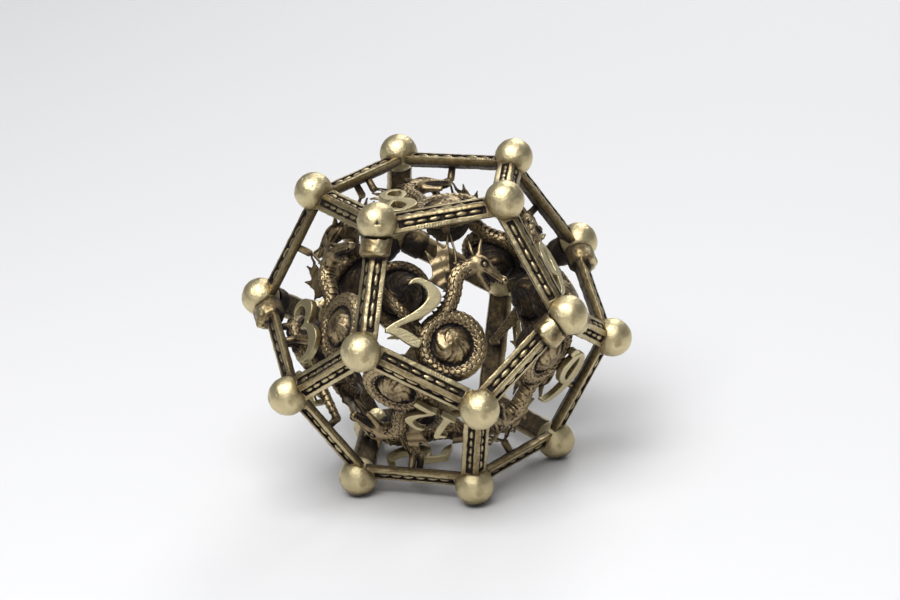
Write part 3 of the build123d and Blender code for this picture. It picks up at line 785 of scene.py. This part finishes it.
# ---- the object ---------------------------------------------------------------------------------
def shown(name, mesh, matrix, material, node):
    """Adds a piece, worked out in millimetres in its own frame, in place of a CAD node."""
    piece = bpy.data.objects.new(name, mesh)
    bpy.context.scene.collection.objects.link(piece)
    piece.matrix_world = matrix
    if not mesh.materials:
        mesh.materials.append(material)
    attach(piece, "root")
    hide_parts(node)
    return piece


def in_metres(mesh):
    mesh.transform(Matrix.Scale(MM, 4))
    return mesh


def rigid(origin, x_axis, z_axis):
    matrix = placement(origin, x_axis, z_axis)
    return matrix @ Matrix.Scale(1 / MM, 4)


# The third colour of each is the dark of patina and pits, and also the painted shade.
brass_ball = brass("brass_ball", (0.72, 0.62, 0.37), (0.38, 0.30, 0.16), (0.035, 0.021, 0.010),
                   0.32, 0.80, rough=0.36, grain=0.26, scratch=0.8, speck=0.4, clean=0.06, bump=0.5)
brass_strut = brass("brass_strut", (0.60, 0.51, 0.30), (0.27, 0.20, 0.10), (0.014, 0.008, 0.005),
                    0.20, 0.56, rough=0.36, grain=0.14, bump=0.45, inner=(-0.80, -0.45))
brass_figure = brass("brass_figure", (0.42, 0.33, 0.19), (0.13, 0.088, 0.046), (0.010, 0.006, 0.004),
                     0.16, 0.50, rough=0.38, grain=0.14, bump=0.45, inner=(-2.0, -1.3))
brass_numeral = brass("brass_numeral", (0.60, 0.52, 0.31), (0.33, 0.26, 0.14), (0.05, 0.033, 0.017),
                      0.45, 1.00, rough=0.38, grain=0.14, speck=0.6, clean=0.05, bump=0.5)

for corner, place in enumerate(CORNERS):
    ring = ("balls_top", "balls_upper", "balls_lower", "balls_bottom")[corner // 5]
    matrix = Matrix.Translation(Vector(place * MM))
    shown(f"ball_{corner + 1}", in_metres(ball_mesh(corner)), matrix, brass_ball, ring)


def nearest_corners(number):
    return sorted(other for other in range(20) if frozenset((number, other)) in JOINED)


RING_NAMES = {(0, 0): "top", (0, 1): "upper", (1, 2): "belt", (2, 3): "lower", (3, 3): "bottom"}
counts = {}
for first in range(20):
    for second in nearest_corners(first):
        if second < first:
            continue
        ring = RING_NAMES[first // 5, second // 5]
        counts[ring] = counts.get(ring, 0) + 1
        name = f"strut_{ring}_{counts[ring]}"
        collared = first in CAST_ABOVE and second not in CAST_ABOVE
        start, end = CORNERS[first], CORNERS[second]
        middle = (start + end) / 2
        mesh = in_metres(strut_mesh(name + "_cast", collared, 1000 + 10 * first + second))
        shown(name + "_cast", mesh, rigid(middle, end - start, middle - CENTRE), brass_strut,
              name)

figure_mesh = in_metres(figure_field().mesh("figure"))
for value, loop in FACES.items():
    points = CORNERS[loop]
    middle = points.mean(0)
    shown(f"dragon_{value}", figure_mesh, rigid(middle, points[1] - points[0], middle - CENTRE),
          brass_figure, f"figure_{value}")

for value in range(1, 13):
    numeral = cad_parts[f"numeral_{value}"]
    numeral.data.materials.clear()
    numeral.data.materials.append(brass_numeral)
    remesh = numeral.modifiers.new("even", "REMESH")
    remesh.mode = "VOXEL"
    remesh.voxel_size = 0.05 * MM
    remesh.use_smooth_shade = True
    soften = numeral.modifiers.new("worn", "SMOOTH")
    soften.factor = 0.5
    soften.iterations = 3


# ---- studio -----------------------------------------------------------------------------------
def pale_floor():
    bpy.ops.mesh.primitive_plane_add(size=3.0, location=(0, 0, 0))
    floor = bpy.context.object
    floor.name = "floor"
    material = bpy.data.materials.new("floor_paper")
    material.use_nodes = True
    surface = material.node_tree.nodes["Principled BSDF"]
    surface.inputs["Base Color"].default_value = (0.70, 0.70, 0.705, 1)
    surface.inputs["Roughness"].default_value = 0.9
    floor.data.materials.append(material)


def studio_world():
    """A grey room, dimmer at the floor than at the ceiling."""
    world = bpy.data.worlds.new("studio")
    bpy.context.scene.world = world
    world.use_nodes = True
    nodes, links = world.node_tree.nodes, world.node_tree.links
    split = nodes.new("ShaderNodeSeparateXYZ")
    links.new(nodes.new("ShaderNodeTexCoord").outputs["Generated"], split.inputs[0])
    rise = ranged(nodes, links, split.outputs[2], 0.0, 0.8)
    room = mixed(nodes, links, rise, (0.30, 0.30, 0.31), (0.85, 0.86, 0.90))
    links.new(room, nodes["Background"].inputs["Color"])
    nodes["Background"].inputs["Strength"].default_value = 0.42


def soft_light(name, place, size, power):
    """A square lamp that faces the die."""
    lamp = bpy.data.lights.new(name, "AREA")
    lamp.shape = "DISK"
    lamp.size = size
    lamp.energy = power
    light = bpy.data.objects.new(name, lamp)
    light.location = place
    aim = Vector(CENTRE * MM) - Vector(place)
    light.rotation_euler = aim.to_track_quat("-Z", "Y").to_euler()
    bpy.context.scene.collection.objects.link(light)


def main_camera():
    """The camera that took the photograph, worked out from the places of the balls."""
    data = bpy.data.cameras.new("main")
    data.lens = 130.376
    data.sensor_width = 36
    data.clip_start = 0.01
    camera = bpy.data.objects.new("main", data)
    bpy.context.scene.collection.objects.link(camera)
    back = view_back()
    right = unit(np.cross([0, 0, 1.0], back))
    level = np.eye(4)
    level[:3, :3] = np.stack([right, np.cross(back, right), back], 1)
    level[:3, 3] = (CENTRE + np.array(VIEW["aim"]) + back * VIEW["distance"]) * MM
    camera.matrix_world = Matrix(level.tolist()) @ Matrix.Rotation(math.radians(VIEW["roll"]), 4, "Z")
    bpy.context.scene.camera = camera


pale_floor()
studio_world()
soft_light("key", (-0.05, -0.08, 0.22), 0.20, 0.64)
soft_light("back", (0.12, 0.20, 0.16), 0.12, 0.24)
soft_light("front", (-0.10, -0.30, 0.07), 0.12, 0.05)
main_camera()
bpy.context.scene.view_settings.view_transform = "Standard"
